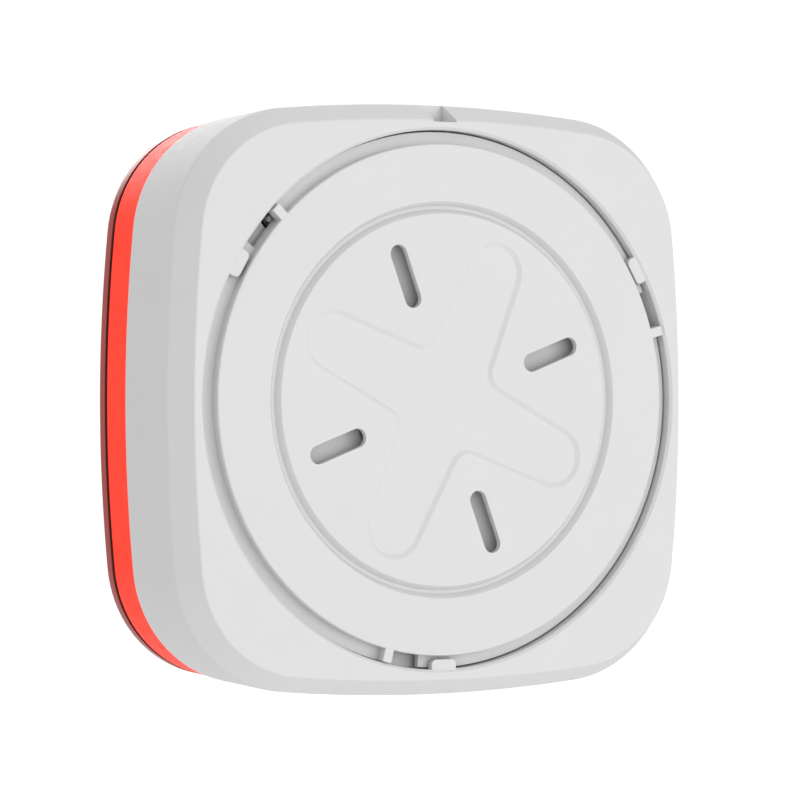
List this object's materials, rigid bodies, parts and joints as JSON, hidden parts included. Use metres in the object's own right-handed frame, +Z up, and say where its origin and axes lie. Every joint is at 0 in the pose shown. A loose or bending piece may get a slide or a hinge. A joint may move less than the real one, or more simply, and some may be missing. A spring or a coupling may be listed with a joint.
{
  "type": "smoke detector",
  "caption": "Square wall smoke alarm with an all-round red light frame, a round bayonet mounting plate with screw slots, a front test button and a rear tamper plunger.",
  "frame": {"origin": "centre of the round mounting plate on the wall, on the bayonet axis", "axes": "+Y out of the back into the wall, -Y into the room, +Z up with the notched side of the case at the top, +X to the left as seen from behind"},
  "size_m": [0.15, 0.0606, 0.15],
  "materials": {
    "white_plastic": "fine satin moulding",
    "red_diffuser": "translucent red diffuser",
    "smoked_plastic": "smoked dark red, polished",
    "black_rubber": "matt",
    "black_plastic": "matt",
    "clear_plastic": "clear",
    "board_laminate": "green solder mask",
    "steel": "bright plated",
    "brass": "bare",
    "cell_sleeve": "shrink sleeve over a metal can",
    "led_body": "moulded"
  },
  "bodies": {
    "plate": {"mounting_plate": "white_plastic"},
    "alarm": {"rear_housing": "white_plastic", "light_frame": "red_diffuser", "panel_seal": "black_rubber", "front_panel": "smoked_plastic", "inlet_grille": "white_plastic", "insect_screen": "steel", "chamber_base": "black_plastic", "chamber_cap": "black_plastic", "ir_emitter": "clear_plastic", "photodiode": "black_plastic", "main_board": "board_laminate", "led_board": "board_laminate", "radio_module": "steel", "microcontroller": "black_plastic", "antenna": "brass", "sounder_body": "black_plastic", "sounder_disc": "brass", "status_light_pipe": "clear_plastic", "status_led": "led_body", "test_spring": "steel", "test_switch": "black_plastic", "tamper_bush": "black_plastic", "tamper_spring": "steel", "tamper_switch": "black_plastic", "power_switch": "black_plastic", "battery_holder": "black_plastic", "battery_1": "cell_sleeve", "battery_2": "cell_sleeve", "battery_contact_1": "brass", "battery_contact_2": "brass", "battery_spring_1": "steel", "battery_spring_2": "steel", "alarm_led_1": "led_body", "alarm_led_2": "led_body", "alarm_led_3": "led_body", "alarm_led_4": "led_body", "alarm_led_5": "led_body", "alarm_led_6": "led_body", "alarm_led_7": "led_body", "alarm_led_8": "led_body", "case_screw_1": "steel", "board_screw_1": "steel", "case_screw_2": "steel", "board_screw_2": "steel", "case_screw_3": "steel", "board_screw_3": "steel", "case_screw_4": "steel", "board_screw_4": "steel"},
    "test_button": {"test_button": "white_plastic"},
    "tamper_plunger": {"tamper_plunger": "white_plastic"},
    "power_button": {"power_button": "black_plastic"},
    "battery_hatch": {"battery_hatch": "white_plastic"}
  },
  "joints": [
    {"name": "bayonet_twist", "type": "hinge", "parent": "plate", "child": "alarm", "pos_m": [0, 0, 0], "axis": [0, -1, 0], "range_deg": [0, 10]},
    {"name": "test_press", "type": "slide", "parent": "alarm", "child": "test_button", "axis": [0, 1, 0], "range_m": [0, 0.001], "stiffness_N_per_m": 500, "springref_m": -0.001, "deforming": ["test_spring"]},
    {"name": "tamper_press", "type": "slide", "parent": "alarm", "child": "tamper_plunger", "axis": [0, -1, 0], "range_m": [0, 0.0015], "stiffness_N_per_m": 300, "springref_m": -0.001, "deforming": ["tamper_spring"]},
    {"name": "power_press", "type": "slide", "parent": "alarm", "child": "power_button", "axis": [0, -1, 0], "range_m": [0, 0.001], "stiffness_N_per_m": 400, "springref_m": -0.001},
    {"name": "hatch_turn", "type": "hinge", "parent": "alarm", "child": "battery_hatch", "pos_m": [0, -0.009, 0], "axis": [0, 1, 0], "range_deg": [0, 45]}
  ]
}
